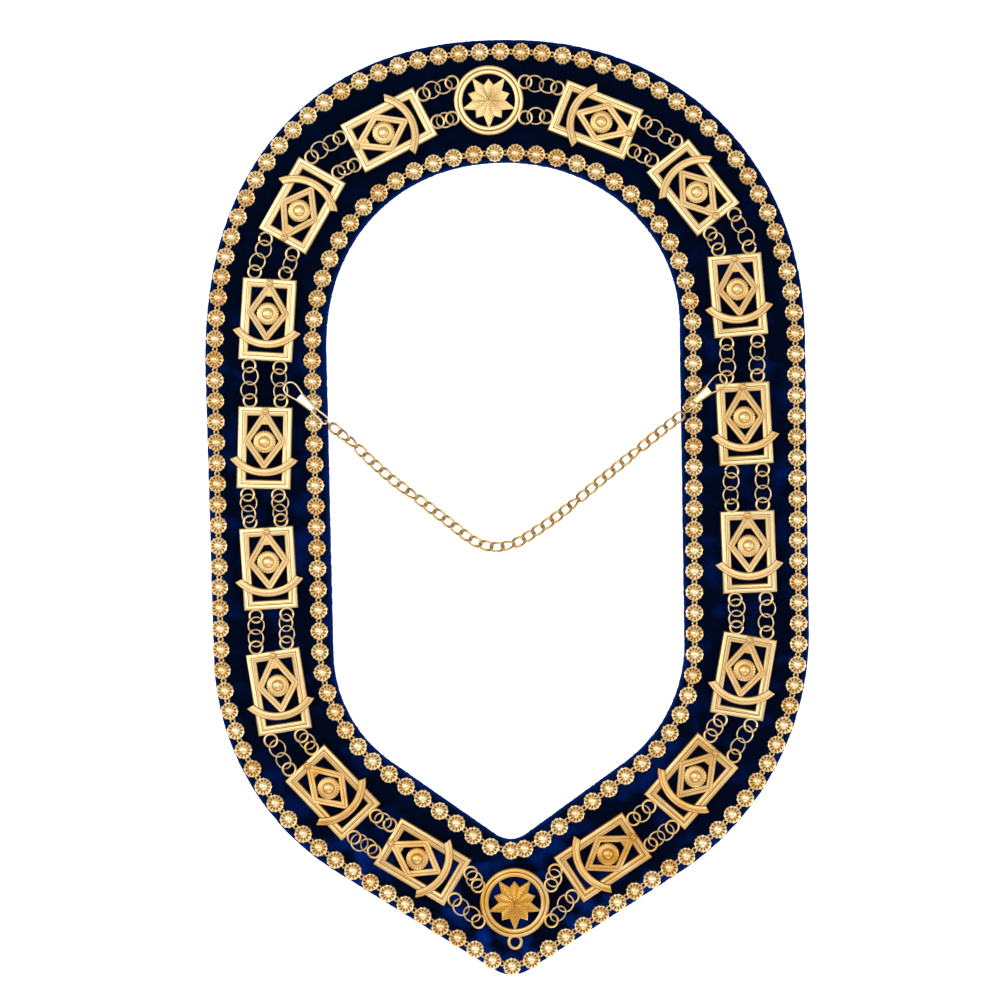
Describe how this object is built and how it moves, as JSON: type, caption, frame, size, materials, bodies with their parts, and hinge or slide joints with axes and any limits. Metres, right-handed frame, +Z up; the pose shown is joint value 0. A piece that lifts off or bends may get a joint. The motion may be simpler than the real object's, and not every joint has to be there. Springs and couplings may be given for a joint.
{
  "type": "chain of office",
  "caption": "Velvet chain collar with gilt rosette trim, carrying openwork plaques and star medallions joined by jump rings, with a curb chain across the shoulders.",
  "frame": {"origin": "under the middle of the whole, on the surface that the collar lies on", "axes": "+Z up out of the face, +Y towards the back of the neck, +X to the right as it is looked at from above"},
  "size_m": [0.3674, 0.5701, 0.0108],
  "materials": {
    "velvet": "navy silk velvet with a blue sheen at its turned edges",
    "gilt_trim": "gilt stamped rosettes, bright on their beads and brown in their slots",
    "gilt_plaque": "gilt cast plaques, satin with polished ridges",
    "gilt_ring": "gilt drawn wire, polished",
    "gilt_chain": "pale gilt curb chain, polished",
    "gilt_clasp": "gilt spring wire and folded sheet, mirror polished"
  },
  "bodies": {
    "root": {"velvet_collar": "velvet", "outer_rosette_trim": "gilt_trim", "inner_rosette_trim": "gilt_trim", "back_medallion": "gilt_plaque", "front_medallion": "gilt_plaque", "plaque_left_1": "gilt_plaque", "plaque_left_2": "gilt_plaque", "plaque_left_3": "gilt_plaque", "plaque_left_4": "gilt_plaque", "plaque_left_5": "gilt_plaque", "plaque_left_6": "gilt_plaque", "plaque_left_7": "gilt_plaque", "plaque_left_8": "gilt_plaque", "plaque_right_1": "gilt_plaque", "plaque_right_2": "gilt_plaque", "plaque_right_3": "gilt_plaque", "plaque_right_4": "gilt_plaque", "plaque_right_5": "gilt_plaque", "plaque_right_6": "gilt_plaque", "plaque_right_7": "gilt_plaque", "plaque_right_8": "gilt_plaque", "outer_rings_01": "gilt_ring", "inner_rings_01": "gilt_ring", "outer_rings_02": "gilt_ring", "inner_rings_02": "gilt_ring", "outer_rings_03": "gilt_ring", "inner_rings_03": "gilt_ring", "outer_rings_04": "gilt_ring", "inner_rings_04": "gilt_ring", "outer_rings_05": "gilt_ring", "inner_rings_05": "gilt_ring", "outer_rings_06": "gilt_ring", "inner_rings_06": "gilt_ring", "outer_rings_07": "gilt_ring", "inner_rings_07": "gilt_ring", "outer_rings_08": "gilt_ring", "inner_rings_08": "gilt_ring", "outer_rings_09": "gilt_ring", "inner_rings_09": "gilt_ring", "outer_rings_10": "gilt_ring", "inner_rings_10": "gilt_ring", "outer_rings_11": "gilt_ring", "inner_rings_11": "gilt_ring", "outer_rings_12": "gilt_ring", "inner_rings_12": "gilt_ring", "outer_rings_13": "gilt_ring", "inner_rings_13": "gilt_ring", "outer_rings_14": "gilt_ring", "inner_rings_14": "gilt_ring", "outer_rings_15": "gilt_ring", "inner_rings_15": "gilt_ring", "outer_rings_16": "gilt_ring", "inner_rings_16": "gilt_ring", "outer_rings_17": "gilt_ring", "inner_rings_17": "gilt_ring", "outer_rings_18": "gilt_ring", "inner_rings_18": "gilt_ring", "shoulder_chain": "gilt_chain", "left_clasp": "gilt_clasp", "right_clasp": "gilt_clasp"}
  },
  "joints": []
}
